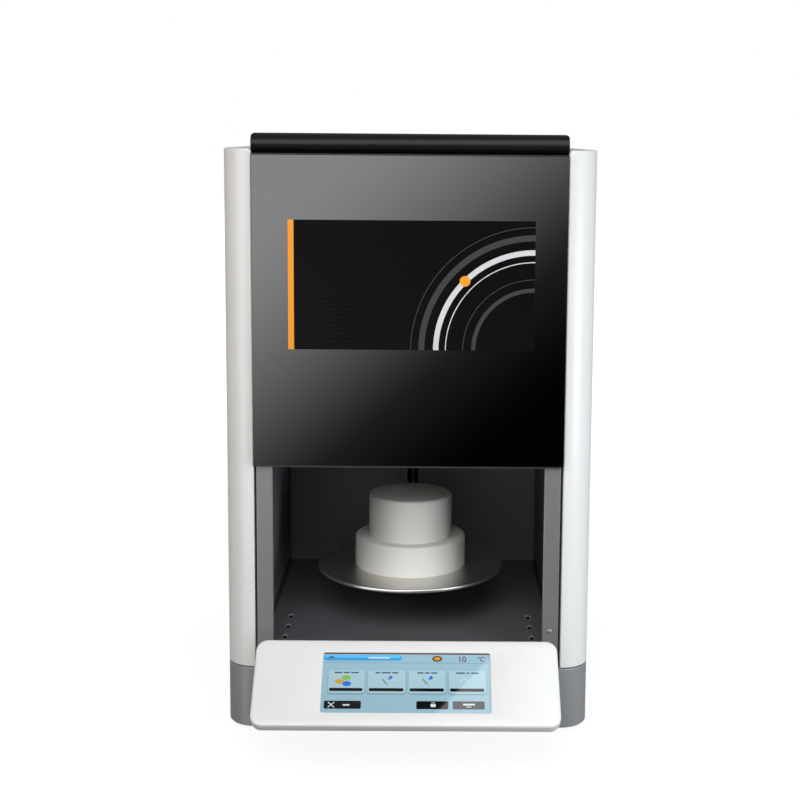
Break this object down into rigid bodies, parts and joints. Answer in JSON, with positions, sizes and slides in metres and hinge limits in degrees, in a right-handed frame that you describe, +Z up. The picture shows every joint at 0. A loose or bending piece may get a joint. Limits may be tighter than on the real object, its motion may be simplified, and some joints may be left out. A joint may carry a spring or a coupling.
{
  "type": "dental lab furnace",
  "caption": "Bench-top sintering furnace with a front loading bay, a round plug lift on a steel disc, and a tilted touch-screen console.",
  "frame": {"origin": "centre of the footprint, on the bench under the feet", "axes": "+X to the viewer's right, +Y to the back, +Z up"},
  "size_m": [0.39, 0.5739, 0.64],
  "materials": {
    "white_paint": "satin, off-white",
    "grey_paint": "satin mid grey",
    "black_sheet": "matt black",
    "pillar_paint": "satin light grey",
    "cabin_paint": "dark grey, fine texture",
    "front_black": "gloss black",
    "hood_black": "semi-gloss black",
    "rear_sheet": "satin mid grey",
    "frame_steel": "zinc plated",
    "stainless": "spun, fine brushed rings",
    "polished_steel": "ground",
    "fibre": "matt fibre board",
    "element": "dark, slightly glossy",
    "bright_alloy": "machined",
    "bronze": "machined",
    "rubber_black": "matt",
    "black_plastic": "matt",
    "board_green": "satin",
    "core_steel": "varnished laminations",
    "console_white": "satin off-white",
    "screen_glass": "gloss",
    "screen_body": "matt"
  },
  "bodies": {
    "housing": {"base_tray": "grey_paint", "rubber_feet": "rubber_black", "chassis_plate": "black_sheet", "front_frame": "black_sheet", "rear_posts": "black_sheet", "top_rails": "black_sheet", "side_cover_left": "white_paint", "side_cover_right": "white_paint", "front_panel": "front_black", "top_hood": "hood_black", "rear_panel": "rear_sheet", "rear_screws": "polished_steel", "pillar_screws": "polished_steel", "guide_rods": "polished_steel", "pillar_left": "pillar_paint", "pillar_right": "pillar_paint", "chamber_drum": "frame_steel", "screw_bearings": "frame_steel", "thermocouple": "frame_steel", "bay_wall_left": "cabin_paint", "bay_wall_right": "cabin_paint", "bay_back_left": "cabin_paint", "bay_back_right": "cabin_paint", "bay_floor": "cabin_paint", "bay_ceiling": "cabin_paint", "insulation_mouth": "fibre", "insulation_floor": "fibre", "insulation_wall": "fibre", "insulation_roof": "fibre", "heating_elements": "element", "element_clamps": "bright_alloy", "drive_plate_lower": "bright_alloy", "drive_plate_upper": "bright_alloy", "motor_bracket": "bright_alloy", "power_module": "bright_alloy", "fan_frame": "black_plastic", "power_inlet": "black_plastic", "switch_body": "black_plastic", "lift_motor": "black_plastic", "control_board": "board_green", "transformer": "core_steel", "console_face": "console_white", "console_housing": "grey_paint", "touch_glass": "screen_glass", "display_module": "screen_body"},
    "lift": {"lift_plate": "stainless", "plug_base": "fibre", "plug_block": "fibre", "lift_hub": "bright_alloy", "lift_arm": "stainless", "lift_carriage": "bright_alloy", "slide_bushes": "frame_steel", "lift_nut": "bronze"},
    "screw": {"lead_screw": "polished_steel", "shaft_coupling": "bright_alloy", "motor_shaft": "polished_steel"},
    "fan": {"fan_rotor": "black_plastic"},
    "rocker": {"switch_rocker": "black_plastic"}
  },
  "joints": [
    {"name": "lift_slide", "type": "slide", "parent": "housing", "child": "lift", "axis": [0, 0, 1], "range_m": [0, 0.1435]},
    {"name": "screw_spin", "type": "hinge", "parent": "housing", "child": "screw", "pos_m": [0, 0.2023, 0.2], "axis": [0, 0, 1], "range_deg": [0, 5200]},
    {"name": "fan_spin", "type": "hinge", "parent": "housing", "child": "fan", "pos_m": [0.092, 0.2693, 0.25], "axis": [0, 1, 0], "continuous": true},
    {"name": "rocker_tilt", "type": "hinge", "parent": "housing", "child": "rocker", "pos_m": [0.128, 0.2783, 0.118], "axis": [1, 0, 0], "range_deg": [-20, 0]}
  ],
  "couplings": [
    {"joint": "screw_spin", "follows": "lift_slide", "rad_per_m": 628.32}
  ]
}
